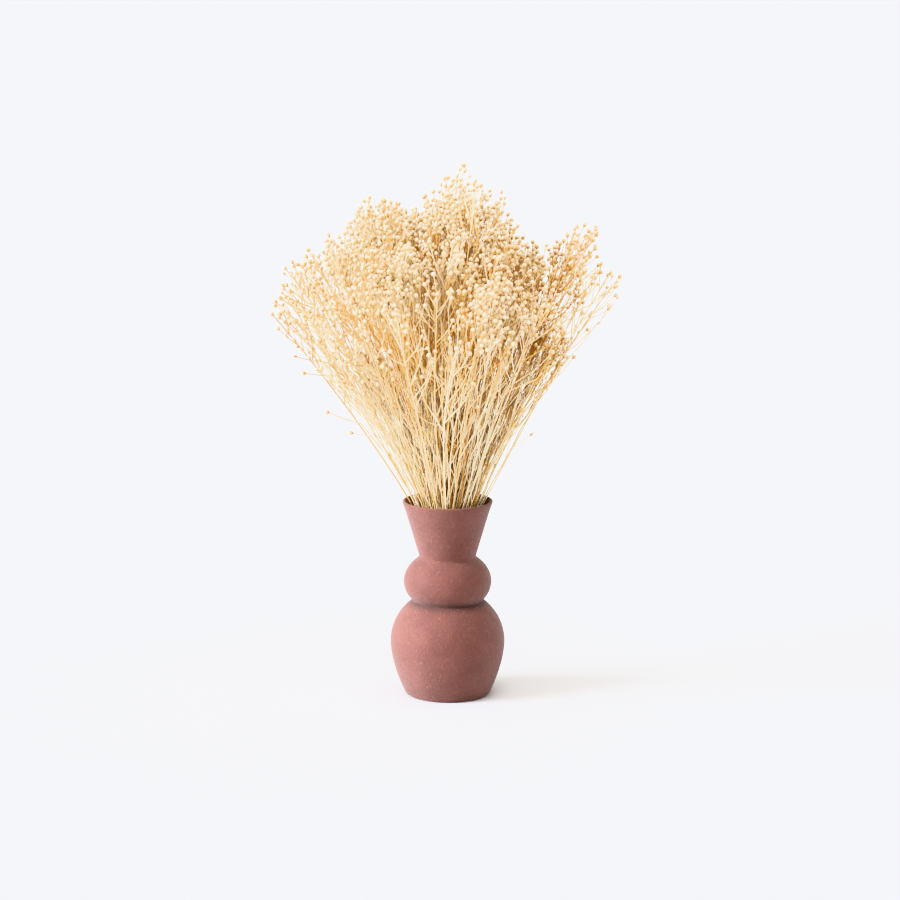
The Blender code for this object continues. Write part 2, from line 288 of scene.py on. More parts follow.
# the bunch follows the same widening flow of stems as the solids, in mm and degrees
bunchValues = {
    "mainSprays": 44,
    "footGap": 0.4,
    "footRadius": 28.0,
    "waistRadius": 22.0,
    "rimRadius": 38.5,
    "flare": 0.00055,
    "turn": (0.16, 0.04),  # degrees a mm, in the vase and above it
    "lean": 0.075,
    "leanStart": 30,
    "wander": 0.8,
    "stemRadius": 1.0,
    "longStretch": (0.98, 1.02),  # of the reach, for every third spray, and for the others
    "shortStretch": (0.91, 1.0),
    "heights": (70, 115, 145, 172, 200),  # where a stem bends in the vase
    "heightsAbove": (0.35, 0.68, 1.0),  # and above it, as shares
    "twigsPerSpray": 10,
    "twigAttempts": 24,
    "twigRadius": 0.52,
    "twigLength": (22, 60),  # of the uppermost twig, and how much longer the lowest is
    "twigSpread": 0.58,
    "twigRise": 0.84,
    "crownDepth": 108.0,
    "capsuleLength": 6.0,
    "capsuleBelly": 2.7,
    "capsuleRadius": 2.6,
    "clearance": 0.9,
    "plainReach": 276.0,
    # each lobe: tilt to the right, tilt to the back, extra reach, width and thickness
    "reachLobes": {
        "top": (4, 0, 56, 6, 14),
        "upper left": (-13, 1, 38, 5.5, 14),
        "left shoulder": (-30, 0, 13, 6, 12),
        "left edge": (-45, 0, -22, 4, 30),
        "right valley": (17.5, 0, -14, 4, 14),
        "far right": (28, 2, 34, 3.5, 10),
        "front edge": (0, -44, -26, 45, 8),
        "back edge": (0, 44, -24, 45, 8),
    },
    "leftLimit": -43.0,
    "rightLimit": 39.5,
    "depthLimit": 41.0,
}
rimMiddle = Vector((0, 0, vaseValues["height"]))


def bunchRadius(z):
    b = bunchValues
    waistHeight, height = vaseValues["waistHeight"], vaseValues["height"]
    if z < waistHeight:
        below = (waistHeight - z) / (waistHeight - vaseValues["floorThickness"])
        return b["waistRadius"] + (b["footRadius"] - b["waistRadius"]) * below ** 2
    widening = b["rimRadius"] - b["waistRadius"]
    neck = height - waistHeight
    if z < height:
        return b["waistRadius"] + widening * ((z - waistHeight) / neck) ** 2
    above = z - height
    return b["rimRadius"] + 2 * widening / neck * above + b["flare"] * above ** 2


def bunchTurn(z):
    height = vaseValues["height"]
    inside, above = bunchValues["turn"]
    return math.radians(inside * min(z, height) + above * max(z - height, 0))


def bunchLean(z):
    above = max(z - vaseValues["height"], 0)
    return -bunchValues["lean"] * above ** 2 / (above + bunchValues["leanStart"])


def bunchPoint(x, y, z):  # where the seat x, y of the waist has moved to at a height
    scale = bunchRadius(z) / bunchValues["waistRadius"]
    turn = bunchTurn(z)
    return Vector((
        scale * (x * math.cos(turn) - y * math.sin(turn)) + bunchLean(z),
        scale * (x * math.sin(turn) + y * math.cos(turn)),
        z,
    ))


def seatUnder(point):  # the waist seat that a point of the crown belongs to
    scale = bunchRadius(point.z) / bunchValues["waistRadius"]
    turn = -bunchTurn(point.z)
    x, y = (point.x - bunchLean(point.z)) / scale, point.y / scale
    cosine, sine = math.cos(turn), math.sin(turn)
    return Vector((x * cosine - y * sine, x * sine + y * cosine, 0))


def stemPoint(spray, z):
    wander = bunchValues["wander"]
    x = spray["seat"].x + wander * math.sin(z / spray["bends"][0] + spray["phases"][0])
    y = spray["seat"].y + wander * math.sin(z / spray["bends"][1] + spray["phases"][1])
    return bunchPoint(x, y, z)


def tiltsOf(offset):  # degrees to the right and to the back
    return tuple(math.degrees(math.atan2(part, offset.z)) for part in (offset.x, offset.y))


def reachAt(offset):
    side, depth = tiltsOf(offset)
    reach = bunchValues["plainReach"]
    for lobeSide, lobeDepth, extra, width, thickness in bunchValues["reachLobes"].values():
        apart = ((side - lobeSide) / width) ** 2 + ((depth - lobeDepth) / thickness) ** 2
        reach += extra * math.exp(-apart / 2)
    return reach


def isInside(tip):  # within the outline that the solids have too
    b = bunchValues
    offset = tip - rimMiddle
    side, depth = tiltsOf(offset)
    within = b["leftLimit"] < side < b["rightLimit"] and abs(depth) < b["depthLimit"]
    return within and offset.length < reachAt(offset) + b["capsuleLength"]


def planMainStems():
    b = bunchValues
    rng = random.Random(11)
    sprays = []
    for index in range(b["mainSprays"]):
        outward = math.sqrt((index + 0.5) / b["mainSprays"])
        angle = index * goldenAngle
        spray = {
            "seat": Vector((math.cos(angle), math.sin(angle), 0)) * outward * b["waistRadius"],
            "bends": (rng.uniform(60, 95), rng.uniform(60, 95)),
            "phases": (rng.uniform(0, math.tau), rng.uniform(0, math.tau)),
            "stretch": rng.uniform(*b["shortStretch"] if index % 3 else b["longStretch"]),
            "turn": rng.uniform(0, math.tau),
        }
        rim = vaseValues["height"]
        tip = rim + 120
        while True:
            offset = stemPoint(spray, tip) - rimMiddle
            if offset.length >= reachAt(offset) * spray["stretch"]:
                break
            tip += 1.5
        spray["tip"] = tip
        heights = [vaseValues["floorThickness"] + b["footGap"], *b["heights"]]
        heights += [rim + (tip - rim) * share for share in b["heightsAbove"]]
        spray["stem"] = [stemPoint(spray, z) for z in heights]
        sprays.append(spray)
    return sprays


def segmentGap(first, second, starts, ends):  # least distance from one run to each of many
    starts, ends = np.asarray(starts), np.asarray(ends)
    u = np.asarray(second) - np.asarray(first)
    v = ends - starts
    w = np.asarray(first) - starts
    a = float(u @ u)
    b = v @ u
    c = np.einsum("ij,ij->i", v, v)
    d = w @ u
    e = np.einsum("ij,ij->i", v, w)
    s = np.clip((b * e - c * d) / np.maximum(a * c - b * b, 1e-9), 0, 1)
    t = np.clip((b * s + e) / c, 0, 1)
    s = np.clip((b * t - d) / a, 0, 1)
    return np.linalg.norm(w + s[:, None] * u - t[:, None] * v, axis=1)


def sideways(along, turn):
    across = along.orthogonal().normalized()
    across.rotate(Matrix.Rotation(turn, 3, along))
    return across


def twigRoot(spray, z):
    for start, end in zip(spray["stem"], spray["stem"][1:]):
        if z <= end.z:
            return start.lerp(end, (z - start.z) / (end.z - start.z)), (end - start).normalized()


def twigPath(spray, share, turn, length):
    b = bunchValues
    back = 6 + b["crownDepth"] * (1 - share) ** 1.1
    root, along = twigRoot(spray, spray["tip"] - back * 0.93)
    across = sideways(along, turn)
    path = []
    for part in (0.0, 0.55, 1.0):
        aside = b["twigSpread"] * length * part * (1.25 - 0.42 * part)
        path.append(root + across * aside + along * length * b["twigRise"] * part)
    heading = (path[2] - path[1]).normalized()
    return [*path, path[2] + heading * b["capsuleBelly"], path[2] + heading * b["capsuleLength"]]


def isClear(path, taken, owner):
    twigRadius, capsuleRadius = bunchValues["twigRadius"], bunchValues["capsuleRadius"]
    starts = np.array([start for start, _, _, _ in taken])
    ends = np.array([end for _, end, _, _ in taken])
    radii = np.array([radius for _, _, radius, _ in taken])
    others = np.array([placed != owner for _, _, _, placed in taken])
    everything = np.full(len(taken), True)
    pastRoot = path[0].lerp(path[1], 0.3)
    runs = (
        (path[0], path[1], twigRadius, others),
        (pastRoot, path[1], twigRadius, ~others),
        (path[1], path[2], twigRadius, everything),
        (path[2], path[4], capsuleRadius, everything),
    )
    for start, end, radius, among in runs:
        if among.any():
            gaps = segmentGap(start, end, starts[among], ends[among]) - radii[among] - radius
            if gaps.min() < bunchValues["clearance"]:
                return False
    return True


def planMainTwigs(sprays):
    b = bunchValues
    rng = random.Random(23)
    taken = []
    for owner, spray in enumerate(sprays):
        spray["twigs"] = []
        for start, end in zip(spray["stem"], spray["stem"][1:]):
            taken.append((start, end, b["stemRadius"], owner))
        top = spray["stem"][-1]
        heading = (top - spray["stem"][-2]).normalized()
        taken.append((top, top + heading * b["capsuleLength"], b["capsuleRadius"], owner))
    for number in range(b["twigsPerSpray"]):
        for owner, spray in enumerate(sprays):
            for attempt in range(b["twigAttempts"]):
                share = (number + rng.uniform(0.1, 0.9)) / b["twigsPerSpray"]
                turn = spray["turn"] + (number + attempt * 3.3) * goldenAngle
                length = b["twigLength"][0] + b["twigLength"][1] * (1 - share)
                length = length * rng.uniform(0.75, 1.1) * 0.97 ** attempt
                path = twigPath(spray, share, turn, length)
                if isInside(path[4]) and isClear(path, taken, owner):
                    spray["twigs"].append(path)
                    pastRoot = path[0].lerp(path[1], 0.25)
                    taken.append((pastRoot, path[1], b["twigRadius"], owner))
                    taken.append((path[1], path[2], b["twigRadius"], owner))
                    taken.append((path[2], path[4], b["capsuleRadius"], owner))
                    break


# every spray is a list of runs, which are stalks of any order, and of capsule seats
growthValues = {
    # radius in mm at the foot and the tip, how much paler, and whether three sides are enough
    "runs": {
        "stem": ((0.85, 0.48), 0.0, False),
        "twig": ((0.56, 0.42), 0.0, False),
        "branch": ((0.56, 0.42), 0.1, False),
        "low twig": ((0.46, 0.32), 0.75, True),
        "pedicel": ((0.42, 0.3), -0.15, True),
        "bare pedicel": ((0.42, 0.3), 0.2, True),
        "stray": ((0.56, 0.42), 0.05, True),
    },
    "zigzag": 1.0,  # mm that a stalk bends aside at each joint
    "pedicelSpread": 0.42,
    "pedicelAttempts": 4,
    "forkFrom": 14,  # mm, the shortest pedicel that may fork
    "forkShare": 0.7,
    "mainTip": (6, 34, (8, 22)),  # pedicels, mm below the tip where they grow, lengths
    "mainTwig": (19, 0.65, (7, 18)),  # mm of twig for each pedicel, share of the twig, lengths
    "mainLowTwigs": (3, (170, 300)),  # how many, and their heights
    "lowTwigLength": (32, 105),
    "lowTwigSpread": (0.12, 0.42),
    "shoots": (1, 3),  # on each low twig
    "shootLength": (10, 28),
    "shootSpread": (0.35, 0.85),
    "capsuleSize": (0.8, 1.04),
    "capsuleSpacing": 5.6,  # mm between the middles of two capsules, at least
    "capsuleMiddle": 2.9,  # mm from the seat of a capsule to its middle
    "capsuleShare": 0.8,  # of the pedicels in the cloud, the rest have dropped theirs
    "bareShare": 0.25,
    "stray": 0.03,  # share of capsules that hang below the cloud
    # share of the reach where the cloud of capsules begins: more in front and in the valley
    "cloudFrom": (0.66, 0.16, 0.1),
    "cloudEdge": 0.09,
    "front": (-10, 34, 12),  # degrees: tilt back, tilt aside and soft edge
    "valley": (-1.5, 4.5, -6, 8),  # degrees: middle, width, tilt back and soft edge
    # small groups low in the bunch: place in mm and how wide
    "tufts": ((37, -88, 306, 13), (108, -20, 336, 10), (-18, -86, 318, 12), (-104, -30, 318, 14)),
    # the airy sides: degrees of tilt where they begin, soft edge, share that is missing
    "airyFrom": (-25, 17, 24),  # left, right, and right in front
    "airyEdge": 8,
    "airyFront": -14,
    "airyShare": (0.74, 0.6),
    # tones run from 0, bleached cream, to 1, brown
    "sprayTone": 0.42,
    "runTone": 0.42,
    "capsuleTone": 0.5,
    "heartShadeGold": 0.78,  # painted shade: how much more golden the heart of the bunch is, where it lies in shade
    "shell": (0.74, 0.18),  # share of the reach where that painted shade fades out towards the pale outside
    "farSideShadeGold": 0.56,  # painted shade: the far right, away from the side light, is golden too; the far left is a little golden as well
    "away": ((30, 60), (-70, 100)),  # mm: where that begins and how soft it is
    "lowGold": 0.15,  # and so are the stems just above the rim
    "low": (270, 70),
}
capsuleGrid = {}  # the middles of all capsules so far, by cells


def gridCell(place):  # cells of 5 mm
    return tuple(int(math.floor(c / 5)) for c in place)


def seatIsFree(place, spacing):
    x, y, z = gridCell(place)
    for i, j, k in itertools.product((-1, 0, 1), repeat=3):
        for other in capsuleGrid.get((x + i, y + j, z + k), ()):
            if (other - place).length < spacing:
                return False
    return True


def cloudChance(place):  # capsules fill the outer shell, with a valley of stems in front
    g = growthValues
    offset = place - rimMiddle
    side, depth = tiltsOf(offset)
    share = offset.length / reachAt(offset)
    tilt, aside, edge = g["front"]
    front = clamped((tilt - depth) / edge) * clamped((aside - abs(side)) / edge)
    middle, width, tilt, edge = g["valley"]
    valley = math.exp(-((side - middle) / width) ** 2) * clamped((tilt - depth) / edge)
    plain, more, most = g["cloudFrom"]
    begin = plain + more * front + most * valley
    tuft = max(math.exp(-((place - Vector(t[:3])).length / t[3]) ** 2) for t in g["tufts"])
    return min(g["capsuleShare"], max(g["stray"], tuft, (share - begin) / g["cloudEdge"]))


def fullness(place):  # share of the pedicels that grow there: the sides are airy
    g = growthValues
    side, depth = tiltsOf(place - rimMiddle)
    leftFrom, rightFrom, frontFrom = g["airyFrom"]
    left = clamped((leftFrom - side) / g["airyEdge"])
    begin = frontFrom if depth < g["airyFront"] else rightFrom
    right = clamped((side - begin) / g["airyEdge"])
    return 1 - g["airyShare"][0] * left - g["airyShare"][1] * right


def paintedShadeTone(place):  # painted shade: golden in the heart of the bunch and on the far side from the light, pale outside and on the lit side; golden low down above the rim too
    g = growthValues
    inward = max(0.0, 1 - seatUnder(place).length / bunchValues["waistRadius"])
    offset = place - rimMiddle
    share = offset.length / reachAt(offset) if offset.z > 60 else 0.0  # no shell near the rim
    shell = clamped((share - g["shell"][0]) / g["shell"][1])
    (right, rightEdge), (left, leftEdge) = g["away"]
    away = clamped(max((place.x - right) / rightEdge, (left - place.x) / leftEdge))
    low = clamped((g["low"][0] - place.z) / g["low"][1])
    heart = g["heartShadeGold"] * min(1.0, 1.8 * inward) * (1 - shell)
    return heart + g["farSideShadeGold"] * away + g["lowGold"] * low


def newGrowth(rng):
    spread = growthValues["sprayTone"]
    return {"runs": [], "seats": [], "tone": rng.uniform(-spread, spread), "rng": rng}


def addRun(growth, points, kind, thickness=1.0):
    girth, paler, thin = growthValues["runs"][kind]
    spread = growthValues["runTone"]
    tone = growth["tone"] - paler + growth["rng"].uniform(-spread, spread)
    growth["runs"].append((points, [g * thickness for g in girth], tone, thin))


def addCapsule(growth, base, heading, size, mustFit=True):
    g = growthValues
    middle = base + heading * g["capsuleMiddle"] * size
    if mustFit and not seatIsFree(middle, g["capsuleSpacing"] * (0.4 + 0.6 * size)):
        return False
    capsuleGrid.setdefault(gridCell(middle), []).append(middle)
    rng = growth["rng"]
    tone = growth["tone"] + rng.uniform(-g["capsuleTone"], g["capsuleTone"])
    growth["seats"].append((base, heading, size, tone, rng.uniform(0, math.tau)))
    return True


def tipHeading(path):
    return (path[-1] - path[-2]).normalized()


def addTipCapsule(growth, path, size):
    addCapsule(growth, path[-1], tipHeading(path), size, mustFit=False)


def risingPath(root, along, across, length, spread, parts):  # leaves at an angle, curves up
    path = []
    for part in range(parts + 1):
        u = part / parts
        aside = spread * length * u * (1.35 - 0.5 * u)
        path.append(root + across * aside + along * (length * 0.9 * u))
    return path


def bendJoints(rng, path, amount, first=1):
    for index in range(first, len(path) - 1):
        along = (path[index + 1] - path[index - 1]).normalized()
        aside = sideways(along, rng.uniform(0, math.tau))
        path[index] = path[index] + aside * amount * rng.uniform(0.4, 1.2)
    return path


def addPedicel(growth, root, along, turn, length, spread):
    rng = growth["rng"]
    for _ in range(growthValues["pedicelAttempts"]):
        path = risingPath(root, along, sideways(along, turn), length, spread, parts=2)
        if rng.random() > fullness(path[-1]):
            return None
        if isInside(path[-1]):
            bare = rng.random() > cloudChance(path[-1])
            size = None if bare else rng.uniform(*growthValues["capsuleSize"])
            if bare or addCapsule(growth, path[-1], tipHeading(path), size):
                addRun(growth, path, "pedicel")
                return path
        turn += goldenAngle * 1.7
        length *= rng.uniform(0.75, 1.15)
    if rng.random() < growthValues["bareShare"] and isInside(path[-1]):
        addRun(growth, path, "bare pedicel")
        return path
    return None


def pointOn(path, share):
    place = clamped(share) * (len(path) - 1)
    i = min(int(place), len(path) - 2)
    return path[i].lerp(path[i + 1], place - i), (path[i + 1] - path[i]).normalized()


def pointBelowTip(path, back):  # the place that lies so far below the tip along the path
    for start, end in zip(reversed(path[:-1]), reversed(path[1:])):
        step = (end - start).length
        if back <= step:
            return end.lerp(start, back / step), (end - start).normalized()
        back -= step
    return path[0], (path[1] - path[0]).normalized()


def addCluster(growth, path, count, zone, lengths):  # longer pedicels below dome the capsules
    g, rng = growthValues, growth["rng"]
    turn = rng.uniform(0, math.tau)
    for number in range(count):
        back = zone * (1 - (number + rng.uniform(0.2, 0.8)) / count)
        root, along = pointBelowTip(path, back)
        length = lengths[0] + (lengths[1] - lengths[0]) * (back / zone) * rng.uniform(0.75, 1.1)
        turn += goldenAngle
        spread = g["pedicelSpread"] * rng.uniform(0.7, 1.3)
        pedicel = addPedicel(growth, root, along, turn, length, spread)
        if pedicel and length > g["forkFrom"] and rng.random() < g["forkShare"]:
            fork, forkAlong = pointOn(pedicel, rng.uniform(0.35, 0.6))
            forkTurn = turn + rng.uniform(1, 5)
            addPedicel(growth, fork, forkAlong, forkTurn, length * rng.uniform(0.45, 0.7), 0.4)


def addLowTwigs(growth, stem, count, heights):  # thin side shoots that cross in the stem zone
    g, rng = growthValues, growth["rng"]
    for _ in range(count):
        z = rng.uniform(*heights)
        below = [(a, b) for a, b in zip(stem, stem[1:]) if a.z <= z <= b.z]
        if not below:
            continue
        start, end = below[0]
        root = start.lerp(end, (z - start.z) / (end.z - start.z))
        along = (end - start).normalized()
        across = sideways(along, rng.uniform(0, math.tau))
        length, spread = rng.uniform(*g["lowTwigLength"]), rng.uniform(*g["lowTwigSpread"])
        twig = risingPath(root, along, across, length, spread, parts=4)
        if not isInside(twig[-1]):
            continue
        bendJoints(rng, twig, g["zigzag"])
        addRun(growth, twig, "low twig")
        for _ in range(rng.randint(*g["shoots"])):
            fork, forkAlong = pointOn(twig, rng.uniform(0.3, 0.9))
            turn, length = rng.uniform(0, math.tau), rng.uniform(*g["shootLength"])
            addPedicel(growth, fork, forkAlong, turn, length, rng.uniform(*g["shootSpread"]))
        addPedicel(growth, twig[-1], tipHeading(twig), 0.0, 6.0, 0.1)


def addStray(growths, tip):  # a lone capsule on a thin side shoot of the nearest fitting stem
    best = None
    for growth in growths:
        stem = growth["runs"][0][0]
        for index in range(8, len(stem) - 1):  # above the rim
            offset = tip - stem[index]
            along = (stem[index + 1] - stem[index]).normalized()
            rises = offset.normalized().dot(along) > 0.86  # within 30 degrees of the stem
            if offset.length > 18 and rises and (best is None or offset.length < best[0]):
                best = (offset.length, growth, stem[index], along)
    if best:
        length, growth, root, along = best
        bend = root + along * length * 0.35 + (tip - root) * 0.2
        path = bendJoints(growth["rng"], [root, bend, bend.lerp(tip, 0.5), tip], 0.8)
        addRun(growth, path, "stray")
        addTipCapsule(growth, path, 0.95)


def stemHeights(foot, tip, steps):  # closer together at the waist and above the rim
    waist, rim = vaseValues["waistHeight"], vaseValues["height"]
    return [foot, 60, 110, *np.linspace(waist, rim, 4), *np.linspace(rim, tip, steps)[1:]]


def growMainSpray(spray, seed):
    g, rng = growthValues, random.Random(seed)
    growth = newGrowth(rng)
    foot = vaseValues["floorThickness"] + bunchValues["footGap"]
    stem = [stemPoint(spray, z) for z in stemHeights(foot, spray["tip"], 11)]
    addRun(growth, stem, "stem")
    addTipCapsule(growth, stem, 1.0)
    for path in spray["twigs"]:
        root = stemPoint(spray, path[0].z)
        twig = [root, (root + path[1]) / 2, path[1], path[1].lerp(path[2], 0.5), path[2]]
        addRun(growth, twig, "twig")
        heading = (path[4] - path[2]).normalized()
        addCapsule(growth, path[2], heading, rng.uniform(0.92, 1.05), mustFit=False)
        length = (path[2] - path[0]).length
        spacing, share, lengths = g["mainTwig"]
        addCluster(growth, twig, max(1, round(length / spacing)), length * share, lengths)
    addCluster(growth, stem, *g["mainTip"])
    addLowTwigs(growth, stem, *g["mainLowTwigs"])
    return growth


fillerValues = {
    "count": 152,
    "pieces": 10,
    "branches": (4, 6),
    "branchCapsules": (5, 7),
    "topCapsules": (6, 8),
    "lowTwigs": (7, 10),
    "thickness": (0.7, 1.05),
    "topZone": (36, 52),  # mm below the tip where pedicels grow
    "topLengths": (8, 26),
    "branchFrom": (26, 124),  # mm below the tip: the uppermost, and how much lower they start
    "branchReach": (0.82, 1.0),
    "branchSpread": (0.16, 0.3),
    "branchZone": (28, 42),
    "branchLengths": (6, 20),
    "lowTwigHeights": (165, 320),
    "stretch": (0.84, 1.0),  # of the reach, for the sprays that stand in no clump
    "crown": (2, 28, 36),  # degrees: their middle, and how far aside and deep they stand
    "stemValley": (-7, 4, -14),  # degrees: left, right and front, kept free of them
    "hollow": (5, 24, -20, -3),  # and so is this, from left to right and front to back
    # uneven clumps of the crown: tilt right, tilt back, reach, sprays, spread
    "clumps": {
        "top": (4, 1, 322, 10, 7),
        "upper left": (-13, 0, 312, 11, 6.5),
        "left shoulder": (-26, 2, 292, 6, 6),
        "far left": (-37, 0, 282, 2, 5),
        "low left": (-43, -4, 222, 1, 4),
        "right valley": (16, 8, 268, 6, 6),
        "far right top": (26.5, 0, 314, 2, 3.5),
        "far right": (34.5, 0, 296, 1, 4),
        "low right": (38, -8, 205, 1, 3),
        "upper middle": (-5, -4, 302, 3, 4),
        "upper right": (11, -6, 288, 3, 5),
        "front middle": (0, -18, 282, 5, 5),
        "front right": (13, -28, 272, 11, 7),
        "front left": (-13, -20, 288, 13, 8.5),
        "front far left": (-29, -16, 262, 2, 7),
        "back left": (-20, 22, 272, 4, 7),
        "back": (-2, 26, 282, 8, 9),
        "back right": (20, 22, 266, 4, 7),
        "right stems": (29, -8, 214, 14, 7),
        "left stems": (-33, -6, 180, 8, 7),
        "far back": (0, 35, 262, 5, 6),
    },
    # lone capsules that stand out from the sides
    "strays": ((-118, -6, 290), (-94, -10, 270), (82, -8, 267), (-141, 0, 329), (-150, 4, 345),
               (159, 6, 392), (138, 0, 372), (104, 0, 352), (-152, -8, 372)),
}


def directionOf(side, depth):
    side, depth = math.tan(math.radians(side)), math.tan(math.radians(depth))
    return Vector((side, depth, 1)).normalized()


def planFillerTips():
    v = fillerValues
    rng = random.Random(41)
    tips = []
    for side, depth, reach, count, spread in v["clumps"].values():
        for number in range(count):
            outward = math.sqrt((number + 0.5) / count)
            angle = number * goldenAngle + rng.uniform(-0.4, 0.4)
            x, y = spread * outward * math.cos(angle), spread * outward * math.sin(angle)
            towards = directionOf(side + x, depth + y)
            lower = 1 - 0.05 * outward ** 2
            tips.append(rimMiddle + towards * reach * lower * rng.uniform(0.94, 1.0))
    middle, halfWidth, halfDepth = v["crown"]
    while len(tips) < v["count"]:
        side, depth = rng.uniform(-26, 30), rng.uniform(-35, 35)
        inCrown = ((side - middle) / halfWidth) ** 2 + (depth / halfDepth) ** 2 < 1
        left, right, front = v["stemValley"]
        inValley = left < side < right and depth < front
        left, right, front, back = v["hollow"]
        inHollow = left < side < right and front < depth < back
        if inCrown and not inValley and not inHollow:
            towards = directionOf(side, depth)
            tips.append(rimMiddle + towards * reachAt(towards) * rng.uniform(*v["stretch"]))
    return tips


def growFiller(tip, seed):
    v = fillerValues
    rng = random.Random(seed)
    growth = newGrowth(rng)
    topSeat = seatUnder(tip)
    limit = bunchValues["waistRadius"] - 0.6  # a stem's girth within the waist
    angle, outward = rng.uniform(0, math.tau), limit * math.sqrt(rng.random())
    lowSeat = topSeat * 0.85 + Vector((math.cos(angle), math.sin(angle), 0)) * outward * 0.45
    if lowSeat.length > limit:
        lowSeat *= limit * rng.uniform(0.86, 1.0) / lowSeat.length
    waist = vaseValues["waistHeight"]
    bends = [rng.uniform(45, 80) for _ in range(2)]
    phases = [rng.uniform(0, math.tau) for _ in range(2)]

    def fillerPoint(z):  # from the low seat in the waist to the seat under the tip
        rise = max(0.0, (z - waist) / (tip.z - waist))
        seat = lowSeat.lerp(topSeat, rise)
        x = seat.x + 0.5 * rise * math.sin(z / bends[0] + phases[0])
        y = seat.y + 0.5 * rise * math.sin(z / bends[1] + phases[1])
        return bunchPoint(x, y, z)

    foot = vaseValues["floorThickness"] + bunchValues["footGap"] + rng.uniform(0, 3)
    stem = [fillerPoint(z) for z in stemHeights(foot, tip.z, 13)]
    bendJoints(rng, stem, growthValues["zigzag"], first=7)
    addRun(growth, stem, "stem", thickness=rng.uniform(*v["thickness"]))
    addTipCapsule(growth, stem, rng.uniform(0.85, 1.0))
    count, zone = rng.randint(*v["topCapsules"]), rng.uniform(*v["topZone"])
    addCluster(growth, stem, count, zone, v["topLengths"])
    turn = rng.uniform(0, math.tau)
    branchCount = rng.randint(*v["branches"])
    for number in range(branchCount):
        turn += goldenAngle
        lower = ((number + rng.random()) / branchCount) ** 1.2
        back = v["branchFrom"][0] + v["branchFrom"][1] * lower
        root, along = pointBelowTip(stem, back)
        length, spread = back * rng.uniform(*v["branchReach"]), rng.uniform(*v["branchSpread"])
        branch = risingPath(root, along, sideways(along, turn), length, spread, parts=5)
        if not isInside(branch[-1]):
            continue
        bendJoints(rng, branch, growthValues["zigzag"])
        addRun(growth, branch, "branch")
        addTipCapsule(growth, branch, rng.uniform(0.8, 1.0))
        zone = min(length * 0.7, rng.uniform(*v["branchZone"]))
        addCluster(growth, branch, rng.randint(*v["branchCapsules"]), zone, v["branchLengths"])
    addLowTwigs(growth, stem, rng.randint(*v["lowTwigs"]), v["lowTwigHeights"])
    return growth


# round pointed seed capsules on a dry calyx, in three kinds
capsuleValues = {
    "sides": 6,
    "kinds": ("closed", "plump", "slim"),
    # pairs of height and radius in mm, from the calyx to the pointed tip
    "closed": ((0.0, 0.32), (1.3, 1.6), (3.1, 2.3), (4.9, 1.0), (5.9, 0.0)),
    "plump": ((0.0, 0.34), (1.1, 1.8), (2.8, 2.5), (4.3, 1.25), (5.1, 0.0)),
    "slim": ((0.0, 0.3), (1.5, 1.2), (3.3, 1.85), (5.2, 0.75), (6.2, 0.0)),
}


def makeCapsule(kind):
    sides = capsuleValues["sides"]
    shape = bmesh.new()
    along = shape.verts.layers.float.new("along")
    *lower, (length, _) = capsuleValues[kind]
    rings = []
    for z, radius in lower:
        ring = []
        for side in range(sides):
            angle = math.tau * side / sides
            x, y = radius * math.cos(angle), radius * math.sin(angle)
            vert = shape.verts.new((x * mm, y * mm, z * mm))
            vert[along] = z / length
            ring.append(vert)
        rings.append(ring)
    tip = shape.verts.new((0, 0, length * mm))
    tip[along] = 1.0
    for low, high in zip(rings, rings[1:]):
        for side in range(sides):
            after = (side + 1) % sides
            shape.faces.new((low[side], low[after], high[after], high[side]))
    for side in range(sides):
        shape.faces.new((rings[-1][side], rings[-1][(side + 1) % sides], tip))
    shape.faces.new(list(reversed(rings[0])))
    for face in shape.faces:
        face.smooth = True
    mesh = bpy.data.meshes.new(kind + "Capsule")
    shape.to_mesh(mesh)
    shape.free()
    return bpy.data.objects.new(kind + "Capsule", mesh)


# dried stalks, air-dried and sun-bleached: pale straw, golden and browner in places, with a
# faint silky sheen along the fibres
stalkValues = {
    "tones": ((0.0, "#f5ebd3"), (0.4, "#ead6aa"), (0.78, "#dcb667"), (1.0, "#bc8533")),
    "streak": 3.0,  # mm
    "streakShare": 0.7,
    "relief": 0.2,  # mm
    "roughness": 0.42,
    "sheen": 0.15,
}


def makeStalkMaterial():
    v = stalkValues
    material, tree = newMaterial("air-dried straw stalk")
    place = addNode(tree, "ShaderNodeTexCoord").outputs["Object"]
    # tone holds a random tone plus the painted shade of the heart and far side of the bunch
    tone = addNode(tree, "ShaderNodeAttribute", attribute_name="tone").outputs["Fac"]
    streak = addNode(tree, "ShaderNodeTexNoise", {
        "Vector": place, "Scale": 1 / (v["streak"] * mm), "Detail": 2.0, "Roughness": 0.6})
    shift = addNode(tree, "ShaderNodeMath", {0: streak, 1: -0.5}, operation="ADD")
    shade = addNode(tree, "ShaderNodeMath", {
        0: shift, 1: v["streakShare"], 2: tone}, operation="MULTIPLY_ADD")
    ramp = addNode(tree, "ShaderNodeValToRGB", {"Fac": shade})
    setRamp(ramp, v["tones"])
    bump = addNode(tree, "ShaderNodeBump", {
        "Height": streak, "Strength": 0.3, "Distance": v["relief"] * mm})
    shader = addNode(tree, "ShaderNodeBsdfPrincipled", {
        "Base Color": ramp, "Roughness": v["roughness"], "IOR": 1.5,
        "Sheen Weight": v["sheen"], "Sheen Roughness": 0.4, "Normal": bump})
    addNode(tree, "ShaderNodeOutputMaterial", {"Surface": shader})
    return material


